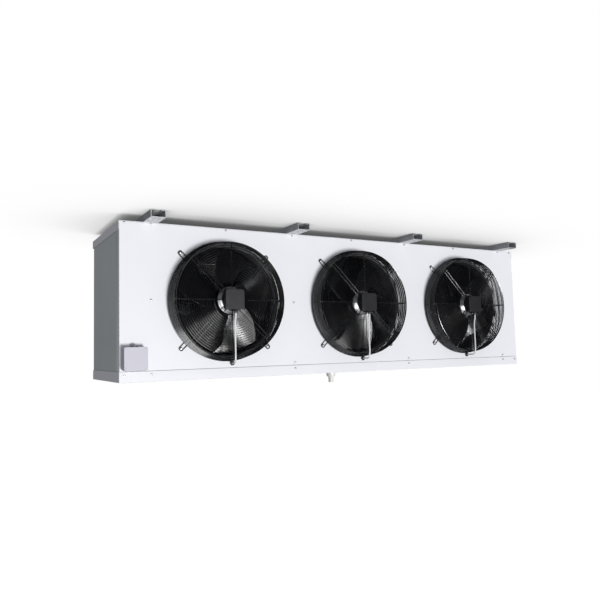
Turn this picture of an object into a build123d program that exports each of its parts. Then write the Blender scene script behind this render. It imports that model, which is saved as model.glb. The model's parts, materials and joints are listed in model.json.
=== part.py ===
from build123d import *
import math
import os

os.makedirs("parts", exist_ok=True)

# Ceiling unit cooler with three axial fans, in millimetres.
# It is laid out from the casing's left, front, bottom corner: x runs along it, y from the fans to the
# coil, z up. Each piece is then moved so that the centre of the hanger slots is the origin.

# Casing, laid round the fans
depth = 547
sheet = 1.5
bend_radius = 3
front_return = 48
top_flange = 38
top_overhang = 12
panel_foot = 18
cover_front = 12
cover_drop = 24

# Fans: the impeller's size and the sheet left round the mouths give the casing its size
impeller_radius = 250
tip_clearance = 6
mouth_flare = 6.5
collar_depth = 34
collar_flange = 10
collar_sides = 28
sheet_left_of_fans = 225.5
sheet_between_fans = 220
sheet_right_of_fans = 189.5
sheet_under_fans = 93.5
sheet_over_fans = 81.5

# Bulkheads: coil plates at both ends, partitions between the fans
first_bulkhead = 138
last_bulkhead_margin = 123
partition_margins = (103.5, 74.5)
plate_sheet = 2
bulkhead_foot = 48
screw_flange = 24
partition_flange = 16

# Impeller: sickle blades pressed in three flats and welded on the motor's turning can
blade_count = 5
blade_sheet = 2
blade_centre = 8
blade_stagger = 20
blade_camber = 17
blade_lead_share = 0.82
blade_trail_share = 0.256
blade_edge_steps = 4
blade_tip_steps = 3
blade_root_angle = 45
blade_lead_angle = 33
blade_trail_angle = -21
blade_tip_lead_angle = 50
blade_tip_trail_angle = -3
impeller_angles = (0, 23, 49)

# Motor, external rotor type, held at the middle of the guard
plate_radius = 50
plate_thickness = 6
plate_sides = 16
bell_radius = 62
bell_depth = 25
bell_sides = 20
rotor_gap = 1.5
rotor_radius = 61
rotor_length = 88
rotor_sides = 20
shaft_radius = 6
shaft_clearance = 0.05
shaft_end_clearance = 0.5
shaft_sides = 16
bearing_radius = 14
bearing_width = 18
bearing_sides = 10

# Terminal box on the motor and its lead
terminal_side = 92
terminal_depth = 34
terminal_corner = 14
terminal_edge = 2.5
lead_radius = 4.25
lead_sides = 5
lead_shift = 8
lead_slant = 2
lead_sway = 1
lead_clearance = 0.5
lead_exit = 17
lead_drop = 44
lead_bends = (34, 60, 18, 40)
lead_rim_gap = 22
lead_end = 25
lead_foot_shift = 30
lead_foot_gap = 12
gland_flats = 15
gland_length = 16
grommet_flats = 22
grommet_height = 4
grommet_clearance = 0.2

# Wire guard: rings welded on the front of the bent arms, doubled arms that end in screw eyes
guard_depth = 85
rim_margin = 1.5
base_margin = 13.5
ring_sides = 16
frame_wire = 5
ring_wire = 3.5
front_ring_shares = (0.4167, 0.625, 0.8333)
arm_turns = (0, 90, 180, 270)
doubled_arm_turns = (45, 135, 225, 315)
arm_spacing = 18
eye_margin = 42.5
eye_reach = 9
eye_tip_width = 12
guard_screw_flats = 10
guard_screw_height = 4

# Drip tray and drain
tray_lip = 45.5
pan_sheet = 1.2
pan_clearance = 0.3
pan_wall = 14
pan_fall = 9
pan_flat = 64
drain_forward = 30.5
drain_radius = 14
drain_thread_radius = 15.5
drain_bore = 11
drain_drop = 62
drain_flange_radius = 25
drain_flange = 3
drain_nut_radius = 28
drain_nut_height = 29
drain_sides = 12
gasket_thickness = 2
thread_clearance = 0.5

# Coil
fin_margin_back = 12
fin_depth = 150
fin_foot = 62
fin_margin_top = 10
fin_thickness = 1
fin_count = 26
fin_margin = 6
tube_radius = 8
tube_rows = 2
tube_row_pitch = 75
tube_sides = 6
tubes_high = 12
tube_margin = 28
bend_reach = 34
suction_header_radius = 17.5
liquid_header_radius = 9
header_gap = 4
header_sides = 12
suction_radius = 14.3
liquid_radius = 8
stub_reach = 38
suction_stub_drop = 44
liquid_stub_drop = 132
stub_clearance = 4
stub_hole_sides = 12
heater_radius = 4.25
heater_count = 3
tube_count_per_heater = 4
heater_gap = 1

# Hanging brackets, lipped channels open upwards
bracket_width = 66
bracket_height = 32
bracket_lip = 20
bracket_sheet = 2.5
bracket_reach = 120
slot_width = 13
slot_length = 30
slot_margin = 35
bracket_bolt_margin = 60
bracket_bolt_flats = 13
bracket_bolt_height = 5.5

# Junction box on the front panel
box_left = 8
box_foot = 50
box_side = 101
box_depth = 40
box_wall = 3
box_corner = 5
lid_depth = 12
lid_screw_inset = 9
lid_screw_flats = 7
lid_screw_height = 1.5
box_gland_flats = 30
box_gland_height = 10

# Sheet screws
screw_flats = 9
screw_height = 4
top_screw_drop = 8
low_screw_rise = 14
tray_screw_rise = 31
corner_screw_inset = 22
end_screw_margin = 100

# Places worked out from the sizes
throat_radius = impeller_radius + tip_clearance
mouth_radius = throat_radius + mouth_flare
rim_ring_radius = mouth_radius + rim_margin
base_ring_radius = mouth_radius + base_margin
eye_radius = mouth_radius + eye_margin
fan_pitch = 2 * mouth_radius + sheet_between_fans
fan_places = [sheet_left_of_fans + mouth_radius + index * fan_pitch for index in range(len(impeller_angles))]
fan_height = sheet_under_fans + mouth_radius
length = fan_places[-1] + mouth_radius + sheet_right_of_fans
height = fan_height + mouth_radius + sheet_over_fans
partition_places = [place + mouth_radius + margin for place, margin in zip(fan_places, partition_margins)]
bulkhead_places = [first_bulkhead, *partition_places, length - last_bulkhead_margin]
drain_back = depth / 2 - drain_forward
fin_front = depth - fin_margin_back - fin_depth
fin_top = height - fin_margin_top
tube_pitch = (fin_top - fin_foot - 2 * tube_margin) / (tubes_high - 1)
origin = Vector((bulkhead_places[0] + bulkhead_places[-1]) / 2, depth / 2, height + bracket_sheet)
bell_front = plate_thickness - guard_depth
bell_back = bell_front + bell_depth
bearing_front = bell_back - bearing_width
rotor_front = bell_back + rotor_gap
rotor_back = rotor_front + rotor_length
lead_front = -guard_depth - frame_wire - lead_clearance - lead_radius
lead_level = -guard_depth - terminal_depth / 2
fin_left = bulkhead_places[0] - screw_flange / 2 + plate_sheet + fin_margin
fin_right = bulkhead_places[-1] + screw_flange / 2 - plate_sheet - fin_margin
tube_foot = fin_foot + tube_margin
row_places = [fin_front + (fin_depth - (tube_rows - 1) * tube_row_pitch) / 2 + row * tube_row_pitch
              for row in range(tube_rows)]
heater_place = fin_front - heater_gap - heater_radius
partition_back = heater_place - heater_radius - heater_gap
tube_left = bulkhead_places[0] - screw_flange / 2
tube_right = bulkhead_places[-1] + screw_flange / 2


def block(x, y, z):
    """A square solid between two places on each axis."""
    size = (x[1] - x[0], y[1] - y[0], z[1] - z[0])
    return Pos((x[0] + x[1]) / 2, (y[0] + y[1]) / 2, (z[0] + z[1]) / 2) * Box(*size)


def disc(radius, front, back):
    """A round slice about the fan axis, between two places along it."""
    return extrude(Plane.XZ.offset(-front) * Circle(radius), amount=front - back)


def rod(radius, left, right):
    """A slim bar along the casing, drawn with flat sides because the coil has many."""
    bar = extrude(Plane.YZ * RegularPolygon(radius, tube_sides), amount=right - left)
    return Pos(left, 0, 0) * bar


def facet_disc(radius, sides, front, back):
    """A slice about the fan axis with flat sides, for what repeats or lies hidden."""
    return extrude(Plane.XZ.offset(-front) * RegularPolygon(radius, sides), amount=front - back)


def funnel(front_radius, back_radius, sides, front, back):
    """A tapered slice about the fan axis with flat sides."""
    start = Plane.XZ.offset(-front) * RegularPolygon(front_radius, sides)
    end = Plane.XZ.offset(-back) * RegularPolygon(back_radius, sides)
    return loft([start, end], ruled=True)


def prism(flats, depth_of_head, plane):
    """A hexagonal head standing on a plane."""
    return extrude(plane * RegularPolygon(flats / math.sqrt(3), 6), amount=depth_of_head)


def at_fan(place, shape):
    """A piece drawn about the fan axis, moved to its fan."""
    return Pos(place, 0, fan_height) * shape


# Casing sheets

def front_panel():
    bottom = panel_foot
    top = height - sheet
    outer = block((0, length), (0, front_return), (bottom, top))
    outer = fillet(outer.edges().filter_by(Axis.Z).group_by(Axis.Y)[0], bend_radius)
    inner = block((sheet, length - sheet), (sheet, front_return), (bottom, top - sheet))
    panel = outer - inner
    for place in fan_places:
        panel = panel - at_fan(place, facet_disc(mouth_radius, collar_sides, 0, sheet))
    return panel


def top_panel():
    outer = block((-sheet, length + sheet), (0, depth + top_overhang), (height - top_flange, height))
    edges = outer.edges().group_by(Axis.Z)[-1].filter_by(Axis.Y)
    outer = fillet(edges, bend_radius)
    inner = block((0, length), (0, depth + top_overhang - sheet), (height - top_flange, height - sheet))
    return outer - inner


def end_cover(on_left):
    """A folded cover round an end: its side, and the wall that closes the back of the compartment."""
    reach = bulkhead_places[0] - screw_flange / 2 if on_left else last_bulkhead_margin - screw_flange / 2
    floor = tray_lip - cover_drop
    ceiling = height - 2 * sheet
    outer = block((sheet, reach), (cover_front, depth), (floor, ceiling))
    outer = fillet(outer.edges().filter_by(Axis.Z).sort_by(Axis.Y)[-2:].sort_by(Axis.X)[0], bend_radius)
    cover = outer - block((2 * sheet, reach), (cover_front, depth - sheet), (floor, ceiling))
    if on_left:
        return cover
    cover = mirror(cover, Plane.YZ.offset(length / 2))
    for across, rise, radius in (suction_stub(), liquid_stub()):
        hole = facet_disc(radius + stub_clearance, stub_hole_sides, depth - sheet, depth)
        cover = cover - Pos(across, 0, rise) * hole
    return cover


def coil_plate(on_left):
    """An end plate of the coil, with a flange behind the front panel and one behind the end cover."""
    face = bulkhead_places[0] - screw_flange / 2 if on_left else last_bulkhead_margin - screw_flange / 2
    span = (bulkhead_foot, height - 2 * sheet)
    plate = block((face, face + plate_sheet), (sheet, depth - sheet), span)
    front = block((face, face + screw_flange), (sheet, sheet + plate_sheet), span)
    back = block((face - screw_flange, face), (depth - sheet - plate_sheet, depth - sheet), span)
    plate = plate + front + back
    return plate if on_left else mirror(plate, Plane.YZ.offset(length / 2))


def partition(place):
    """A wall between two fans, from the front panel to the coil, with a screw flange."""
    face = place - partition_flange / 2
    span = (bulkhead_foot, height - 2 * sheet)
    wall = block((face, face + sheet), (sheet, partition_back), span)
    return wall + block((face, face + partition_flange), (sheet, 2 * sheet), span)


def hanger_bracket(place):
    """A lipped channel, open upwards, with a rod slot near each end."""
    half = bracket_width / 2
    outline = Polyline((-half + bracket_lip, bracket_height), (-half, bracket_height), (-half, 0),
                       (half, 0), (half, bracket_height), (half - bracket_lip, bracket_height))
    profile = offset(outline, amount=bracket_sheet, side=Side.LEFT, closed=True)
    profile = make_face(profile)
    channel = extrude(Plane.XZ * profile, amount=-(depth + 2 * bracket_reach))
    channel = Pos(place, -bracket_reach, height) * channel
    for end in (slot_margin - bracket_reach, depth + bracket_reach - slot_margin):
        slot = extrude(SlotOverall(slot_length, slot_width), amount=bracket_sheet)
        channel = channel - Pos(place, end, height) * slot
    return channel


def bracket_bolts():
    bolts = []
    seat = Plane.XY.offset(height + bracket_sheet)
    for place in bulkhead_places:
        for back in (bracket_bolt_margin, depth - bracket_bolt_margin):
            bolts.append(Pos(place, back, 0) * prism(bracket_bolt_flats, bracket_bolt_height, seat))
    return Compound(children=bolts)


# Drip tray and drain

def drip_tray():
    outer = block((-sheet, length + sheet), (-sheet, depth + sheet), (0, tray_lip))
    tray = outer - block((0, length), (0, depth), (sheet, tray_lip))
    return tray - drain_hole(0, sheet)


def drain_hole(foot, top):
    """The hole for the outlet pipe, between two heights."""
    hole = RegularPolygon(drain_thread_radius + thread_clearance, drain_sides)
    return Pos(length / 2, drain_back, foot) * extrude(hole, amount=top - foot)


def drain_pan():
    """The inner pan: a shallow valley that leads melt water to the drain."""
    front = pan_clearance
    back = depth - pan_clearance
    left = pan_clearance
    right = length - pan_clearance
    half_flat = pan_flat / 2
    low = [(front, sheet + pan_fall), (drain_back - half_flat, sheet), (drain_back + half_flat, sheet),
           (back, sheet + pan_fall)]
    rim = [(back, sheet + pan_wall), (front, sheet + pan_wall)]
    valley = Plane.YZ * make_face(Polyline(*low, *rim, close=True))
    solid = extrude(valley, amount=right - left)
    room = extrude(valley, amount=right - left - 2 * pan_sheet)
    walls = block((0, right - left), (front + pan_sheet, back - pan_sheet), (0, tray_lip))
    room = Pos(pan_sheet, 0, pan_sheet) * room & walls
    return Pos(left, 0, 0) * (solid - room) - drain_hole(sheet, sheet + pan_sheet)


def drain_spigot():
    """The outlet: a hexagonal flange in the pan, a threaded neck through the tray, and a pipe end."""
    top = sheet + pan_sheet + drain_flange
    flange = extrude(RegularPolygon(drain_flange_radius, 6), amount=-drain_flange)
    nut_foot = -gasket_thickness - drain_nut_height
    thread = extrude(RegularPolygon(drain_thread_radius, drain_sides), amount=nut_foot - top)
    pipe = Pos(0, 0, nut_foot - top) * extrude(Circle(drain_radius), amount=-(nut_foot + drain_drop))
    bore = extrude(RegularPolygon(drain_bore, drain_sides), amount=-(top + drain_drop))
    return Pos(length / 2, drain_back, top) * (flange + thread + pipe - bore)


def drain_gasket():
    gasket = extrude(RegularPolygon(drain_flange_radius, drain_sides), amount=gasket_thickness)
    return Pos(length / 2, drain_back, -gasket_thickness) * gasket - drain_hole(-gasket_thickness, 0)


def drain_nut():
    body = extrude(RegularPolygon(drain_nut_radius, 6), amount=drain_nut_height)
    foot = -gasket_thickness - drain_nut_height
    return Pos(length / 2, drain_back, foot) * body - drain_hole(foot, -gasket_thickness)


# Coil

def coil_fins():
    pitch = (fin_right - fin_left) / (fin_count - 1)
    fins = []
    for index in range(fin_count):
        place = fin_left + index * pitch
        fins.append(block((place - fin_thickness / 2, place + fin_thickness / 2),
                          (fin_front, fin_front + fin_depth), (fin_foot, fin_top)))
    return Compound(children=fins)


def level(index):
    """The height of a tube of the coil."""
    return tube_foot + index * tube_pitch


def coil_tubes():
    tubes = []
    for row in row_places:
        for index in range(tubes_high):
            tubes.append(Pos(0, row, level(index)) * rod(tube_radius, tube_left, tube_right))
    return Compound(children=tubes)


def return_bends():
    """The bends that join the tubes in pairs, at both ends of the coil."""
    bends = []
    half = tube_pitch / 2
    outline = Polyline((0, -half), (bend_reach, -half), (bend_reach, half), (0, half))
    bend = extrude(Plane.XZ * trace(outline, 2 * tube_radius), amount=tube_radius, both=True)
    for row in row_places:
        for index in range(0, tubes_high - 1, 2):
            bends.append(Pos(tube_left, row, level(index + 0.5)) * Rot(0, 0, 180) * bend)
        for index in range(1, tubes_high - 1, 2):
            bends.append(Pos(tube_right, row, level(index + 0.5)) * bend)
    return Compound(children=bends)


def liquid_stub():
    """The liquid pipe's end behind the right end: its place across, its height and its radius."""
    across = tube_right + bend_reach + tube_radius + header_gap + liquid_header_radius
    return across, level(tubes_high - 1) - liquid_stub_drop, liquid_radius


def suction_stub():
    across = liquid_stub()[0] + liquid_header_radius + header_gap + suction_header_radius
    return across, level(tubes_high - 1) - suction_stub_drop, suction_radius


def header(row, stub, radius):
    """An upright pipe joined to the ends of a row of tubes, with a stub out through the back."""
    across, rise, stub_radius = stub
    back = row_places[row]
    foot = level(-0.5)
    pipe = extrude(RegularPolygon(radius, header_sides), amount=level(tubes_high - 0.5) - foot)
    whole = Pos(across, back, foot) * pipe
    whole = whole + Pos(across, 0, rise) * facet_disc(stub_radius, header_sides, back, depth)
    whole = whole + Pos(across, 0, rise) * disc(stub_radius, depth, depth + stub_reach)
    for index in (0, tubes_high - 1):
        whole = whole + Pos(0, back, level(index)) * rod(tube_radius, tube_right, across)
    return whole


def defrost_heaters():
    """Heater rods across the coil's fan side, held between its end plates."""
    rods = []
    middle = (fin_foot + fin_top) / 2
    heater_pitch = tube_count_per_heater * tube_pitch
    for index in range(heater_count):
        rise = middle + (index - (heater_count - 1) / 2) * heater_pitch
        heater = rod(heater_radius, tube_left + plate_sheet, tube_right - plate_sheet)
        rods.append(Pos(0, heater_place, rise) * heater)
    return Compound(children=rods)


# Fans, each drawn about its own axis

def fan_collar():
    """The drawn ring behind the panel that leads the air to the blades, with its weld flange."""
    ring_body = funnel(mouth_radius + sheet, throat_radius + sheet, collar_sides, sheet, collar_depth)
    flange = facet_disc(mouth_radius + sheet + collar_flange, collar_sides, sheet, 2 * sheet)
    return ring_body + flange - funnel(mouth_radius, throat_radius, collar_sides, sheet, collar_depth)


def ring(radius, front, wire):
    """One ring of wire, drawn with flat sides because the basket has many."""
    across = wire / 2 / math.cos(math.pi / ring_sides)
    loop = RegularPolygon(radius + across, ring_sides) - RegularPolygon(radius - across, ring_sides)
    return extrude(Plane.XZ.offset(-front) * loop, amount=-wire)


def arm(turn, shift, points):
    """One wire bent in a plane through the fan axis: points are radius and place along the axis."""
    wire = trace(Polyline(*points), frame_wire)
    bar = extrude(wire, amount=frame_wire / 2, both=True)
    return Rot(0, -turn, 0) * Pos(0, 0, shift) * bar


def fan_guard():
    """The wire basket that carries the motor: a frame of arms, and the rings welded on it."""
    front = frame_wire / 2 - guard_depth
    foot = -frame_wire / 2
    foot_radius = base_ring_radius - frame_wire
    side = [(plate_radius - frame_wire, front), (rim_ring_radius + frame_wire / 2, front),
            (foot_radius, foot)]
    half = arm_spacing / 2
    frame = facet_disc(plate_radius, plate_sides, -guard_depth, bell_front)
    far = eye_radius + eye_reach
    narrow = eye_tip_width / 2
    tip = Polyline((eye_radius, -half), (far, -narrow), (far, narrow), (eye_radius, half))
    eye = extrude(Plane.XZ * trace(tip, frame_wire), amount=frame_wire)
    for turn in arm_turns:
        frame = frame + arm(turn, 0, side)
    for turn in doubled_arm_turns:
        frame = frame + arm(turn, -half, side + [(eye_radius, foot)])
        frame = frame + arm(turn, half, side + [(eye_radius, foot)])
        frame = frame + Rot(0, turn, 0) * eye
    rings = [ring(share * rim_ring_radius, -guard_depth - ring_wire, ring_wire)
             for share in front_ring_shares]
    rings.append(ring(rim_ring_radius, -guard_depth - frame_wire, frame_wire))
    rings.append(ring(base_ring_radius, -2 * frame_wire, frame_wire))
    return Compound(children=[frame] + rings)


def guard_screws():
    """The screws through the guards' eyes, into the front panel."""
    screws = []
    screw = prism(guard_screw_flats, frame_wire + guard_screw_height, Plane.XZ)
    for place in fan_places:
        for turn in doubled_arm_turns:
            screws.append(at_fan(place, Rot(0, turn, 0) * Pos(eye_radius, 0, 0) * screw))
    return Compound(children=screws)


def motor_stators():
    """The fixed end bell of each motor, bolted to the guard's plate, with the seat of its bearing."""
    bell = funnel(plate_radius, bell_radius, bell_sides, bell_front, bell_back)
    bell = bell - facet_disc(bearing_radius, bearing_sides, bearing_front, bell_back)
    return Compound(children=[at_fan(place, bell) for place in fan_places])


def motor_bearings():
    race = facet_disc(bearing_radius, bearing_sides, bearing_front, bell_back)
    across = (shaft_radius + shaft_clearance) / math.cos(math.pi / bearing_sides)
    race = race - facet_disc(across, bearing_sides, bearing_front, bell_back)
    return Compound(children=[at_fan(place, race) for place in fan_places])


def motor_shaft():
    return facet_disc(shaft_radius, shaft_sides, bearing_front + shaft_end_clearance, rotor_front)


def polar(radius, turn):
    """A point of a blade's outline, clockwise from the top, seen from the front."""
    angle = math.radians(turn)
    return radius * math.sin(angle), radius * math.cos(angle)


def blade_edge(root_turn, middle_turn, tip_turn):
    """A swept edge from the can to the tip, bent through three turns in a smooth curve."""
    root = rotor_radius - blade_sheet
    points = []
    for step in range(blade_edge_steps + 1):
        share = step / blade_edge_steps
        turn = (root_turn * (1 - share) * (1 - 2 * share) + middle_turn * 4 * share * (1 - share)
                + tip_turn * share * (2 * share - 1))
        points.append(polar(root + (impeller_radius - root) * share, turn))
    return points


def blade():
    """A tilted plate with two pressed creases, cut to a sickle outline."""
    left = -blade_trail_share * impeller_radius
    right = blade_lead_share * impeller_radius
    flat = (right - left) / 3
    back = [(left, 0), (left + flat, blade_camber), (right - flat, blade_camber), (right, 0)]
    front = [(across, along - blade_sheet) for across, along in reversed(back)]
    plate = extrude(make_face(Polyline(*back, *front, close=True)), amount=impeller_radius)
    plate = Pos(0, blade_centre - blade_camber / 2, 0) * Rot(0, 0, blade_stagger) * plate
    lead = blade_edge(blade_root_angle, blade_lead_angle, blade_tip_lead_angle)
    trail = blade_edge(-blade_root_angle, blade_trail_angle, blade_tip_trail_angle)
    tip = []
    for step in range(1, blade_tip_steps):
        share = step / blade_tip_steps
        turn = blade_tip_lead_angle + (blade_tip_trail_angle - blade_tip_lead_angle) * share
        tip.append(polar(impeller_radius, turn))
    outline = make_face(Polyline(*lead, *tip, *reversed(trail), close=True))
    return plate & extrude(Plane.XZ * outline, amount=impeller_radius, both=True)


def impeller():
    """The motor's turning can with its blades."""
    wheel = facet_disc(rotor_radius, rotor_sides, rotor_front, rotor_back)
    for index in range(blade_count):
        wheel = wheel + Rot(0, index * 360 / blade_count, 0) * blade()
    return wheel


def terminal_box():
    """The grey box on the front of the motor, with the gland of its lead below."""
    half = terminal_side / 2
    outline = Plane.XZ.offset(guard_depth) * Rectangle(terminal_side, terminal_side)
    body = extrude(outline, amount=terminal_depth)
    body = chamfer(body.edges().filter_by(Axis.Y), terminal_corner)
    body = chamfer(body.faces().sort_by(Axis.Y)[0].edges(), terminal_edge)
    gland = prism(gland_flats, gland_length, Plane(origin=(lead_shift, lead_level, -half), z_dir=(0, 0, -1)))
    return body + gland


def lead_route():
    """Down from the gland to the front of the guard, round its rim, and back to the panel."""
    start = (lead_shift, lead_level, -terminal_side / 2 - gland_length)
    foot = -base_ring_radius - lead_foot_gap
    points = [start,
              (lead_shift, lead_level, start[2] - lead_exit),
              (lead_shift - lead_slant, lead_front, start[2] - lead_drop),
              (lead_shift - lead_sway, lead_front, -rim_ring_radius - lead_rim_gap),
              (lead_foot_shift, -lead_end, foot),
              (lead_foot_shift, 0, foot)]
    return FilletPolyline(*points, radius=list(lead_bends))


def fan_lead():
    """The motor's lead, drawn with flat sides."""
    route = lead_route()
    section = Plane(origin=route @ 0, z_dir=route % 0) * RegularPolygon(lead_radius, lead_sides)
    return sweep(section, path=route)


def lead_grommet():
    """The rubber grommet round the lead where it enters the front panel."""
    grommet = prism(grommet_flats, grommet_height, Plane.XZ)
    across = (lead_radius + grommet_clearance) / math.cos(math.pi / lead_sides)
    bore = facet_disc(across, lead_sides, -grommet_height, 0)
    return Pos(lead_foot_shift, 0, -base_ring_radius - lead_foot_gap) * (grommet - bore)


# Junction box

def box_outline():
    outline = Rectangle(box_side, box_side)
    return chamfer(outline.vertices(), box_corner)


def junction_box():
    centre = Pos(box_left + box_side / 2, 0, box_foot + box_side / 2)
    outer = extrude(Plane.XZ * box_outline(), amount=box_depth)
    room = Rectangle(box_side - 2 * box_wall, box_side - 2 * box_wall)
    inner = extrude(Plane.XZ.offset(box_wall) * room, amount=box_depth - box_wall)
    return centre * (outer - inner)


def junction_box_lid():
    centre = Pos(box_left + box_side / 2, 0, box_foot + box_side / 2)
    return centre * extrude(Plane.XZ.offset(box_depth) * box_outline(), amount=lid_depth)


def lid_screws():
    screws = []
    reach = box_side / 2 - lid_screw_inset
    for across in (-reach, reach):
        for rise in (-reach, reach):
            seat = Plane.XZ.offset(box_depth + lid_depth)
            centre = Pos(box_left + box_side / 2 + across, 0, box_foot + box_side / 2 + rise)
            screws.append(centre * prism(lid_screw_flats, lid_screw_height, seat))
    return Compound(children=screws)


def box_gland():
    seat = Plane.XY.offset(box_foot + box_side)
    return Pos(box_left + box_side / 2, -box_depth / 2, 0) * prism(box_gland_flats, box_gland_height, seat)


# Screws of the casing

def heads(places, plane):
    """Screw heads standing on a plane at the given places across and up."""
    return [Pos(across, 0, rise) * prism(screw_flats, screw_height, plane) for across, rise in places]


def front_panel_screws():
    """One row under the top edge, one above the tray, and the middle of the first two bulkheads."""
    top = height - top_screw_drop
    low = tray_lip + low_screw_rise
    places = [(corner_screw_inset, top), (length - corner_screw_inset, top)]
    places += [(place, top) for place in bulkhead_places]
    places += [((left + right) / 2, top) for left, right in zip(bulkhead_places, bulkhead_places[1:])]
    places += [(place, low) for place in bulkhead_places[1:]]
    places += [(place, fan_height) for place in bulkhead_places[:2]]
    return Compound(children=heads(places, Plane.XZ))


def tray_screws():
    places = [(corner_screw_inset, tray_screw_rise), (length - corner_screw_inset, tray_screw_rise)]
    places += [(place, tray_screw_rise) for place in bulkhead_places]
    return Compound(children=heads(places, Plane.XZ.offset(sheet)))


def end_cover_screws():
    """The screws of the end covers' back walls."""
    plane = Plane(origin=(0, depth, 0), x_dir=(-1, 0, 0), z_dir=(0, 1, 0))
    places = []
    for across in (first_bulkhead - screw_flange, length - last_bulkhead_margin + screw_flange):
        places += [(across, rise) for rise in (end_screw_margin, height / 2, height - end_screw_margin)]
    return Compound(children=heads(places, plane))


def save(name, shape):
    export_step(Pos(-origin.X, -origin.Y, -origin.Z) * shape, "parts/" + name + ".step")


def main():
    save("front_panel", front_panel())
    save("top_panel", top_panel())
    save("left_end_cover", end_cover(True))
    save("right_end_cover", end_cover(False))
    save("drip_tray", drip_tray())
    save("drain_pan", drain_pan())
    save("drain_spigot", drain_spigot())
    save("drain_gasket", drain_gasket())
    save("drain_nut", drain_nut())
    save("left_coil_plate", coil_plate(True))
    save("right_coil_plate", coil_plate(False))
    for index, place in enumerate(bulkhead_places[1:-1]):
        save(f"partition_{index + 1}", partition(place))
    for index, place in enumerate(bulkhead_places):
        save(f"hanger_bracket_{index + 1}", hanger_bracket(place))
    save("bracket_bolts", bracket_bolts())
    save("coil_fins", coil_fins())
    save("coil_tubes", coil_tubes())
    save("return_bends", return_bends())
    save("suction_header", header(1, suction_stub(), suction_header_radius))
    save("liquid_header", header(0, liquid_stub(), liquid_header_radius))
    save("defrost_heaters", defrost_heaters())
    save("junction_box", junction_box())
    save("junction_box_lid", junction_box_lid())
    save("lid_screws", lid_screws())
    save("box_gland", box_gland())
    save("front_panel_screws", front_panel_screws())
    save("tray_screws", tray_screws())
    save("end_cover_screws", end_cover_screws())
    collar = fan_collar()
    guard = fan_guard()
    wheel = impeller()
    for index, place in enumerate(fan_places):
        number = str(index + 1)
        save("fan_collar_" + number, at_fan(place, collar))
        save("fan_guard_" + number, at_fan(place, guard))
        save("impeller_" + number, at_fan(place, Rot(0, impeller_angles[index], 0) * wheel))
        save("motor_shaft_" + number, at_fan(place, motor_shaft()))
        save("terminal_box_" + number, at_fan(place, terminal_box()))
        save("fan_lead_" + number, at_fan(place, fan_lead()))
        save("lead_grommet_" + number, at_fan(place, lead_grommet()))
    save("motor_stators", motor_stators())
    save("motor_bearings", motor_bearings())
    save("guard_screws", guard_screws())


if __name__ == "__main__":
    main()
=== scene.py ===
"""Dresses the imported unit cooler: sheets, wire guards, impellers, motors, pipes, and the studio round it."""
import json
import math

import bmesh
import bpy
from mathutils import Matrix, Vector

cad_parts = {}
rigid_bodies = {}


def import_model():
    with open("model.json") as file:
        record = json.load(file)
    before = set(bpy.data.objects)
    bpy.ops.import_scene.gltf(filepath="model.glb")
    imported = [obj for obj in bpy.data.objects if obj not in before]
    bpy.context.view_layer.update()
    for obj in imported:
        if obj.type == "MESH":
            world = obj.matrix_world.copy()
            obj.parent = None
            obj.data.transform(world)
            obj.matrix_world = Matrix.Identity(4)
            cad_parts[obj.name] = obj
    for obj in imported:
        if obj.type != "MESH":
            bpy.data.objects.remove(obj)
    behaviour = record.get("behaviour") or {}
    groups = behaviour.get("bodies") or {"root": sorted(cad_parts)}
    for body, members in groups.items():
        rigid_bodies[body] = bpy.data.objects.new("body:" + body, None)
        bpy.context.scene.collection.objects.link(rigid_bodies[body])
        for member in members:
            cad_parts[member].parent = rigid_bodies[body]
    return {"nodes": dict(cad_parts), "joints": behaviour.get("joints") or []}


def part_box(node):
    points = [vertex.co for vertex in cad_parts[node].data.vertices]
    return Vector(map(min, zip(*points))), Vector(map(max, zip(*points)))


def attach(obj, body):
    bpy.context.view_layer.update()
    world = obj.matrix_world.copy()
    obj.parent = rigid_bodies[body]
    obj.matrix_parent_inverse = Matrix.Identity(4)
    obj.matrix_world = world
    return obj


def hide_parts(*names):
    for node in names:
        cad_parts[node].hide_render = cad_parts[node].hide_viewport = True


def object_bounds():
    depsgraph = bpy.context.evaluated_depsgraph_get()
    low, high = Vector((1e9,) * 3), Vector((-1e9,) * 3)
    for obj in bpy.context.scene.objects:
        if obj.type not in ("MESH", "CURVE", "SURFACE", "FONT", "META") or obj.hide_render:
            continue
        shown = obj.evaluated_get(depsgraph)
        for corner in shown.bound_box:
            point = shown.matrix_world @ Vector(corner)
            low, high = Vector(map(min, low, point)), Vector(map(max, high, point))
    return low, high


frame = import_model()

bl_info = {
    "name": "Walk-in Unit Cooler",
    "version": (1, 0, 0),
    "blender": (4, 5, 0),
    "location": "3D View > Sidebar > Unit Cooler",
    "description": "Finished sheets, guards, impellers and pipes for a ceiling unit cooler",
    "category": "Object",
}

CAD_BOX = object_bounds()
CASING = "casing"

# Places read from the frame
PANEL_LOW, PANEL_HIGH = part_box("front_panel")
TRAY_LOW, TRAY_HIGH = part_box("drip_tray")
TOP_LOW, TOP_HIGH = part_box("top_panel")
FANS = [Vector(joint["pos_m"]) for joint in frame["joints"]]
FAN_BODIES = [joint["child"] for joint in frame["joints"]]
FACE = PANEL_LOW.y
FACING = Matrix.Rotation(math.radians(90), 4, "X")


# Properties

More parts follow.
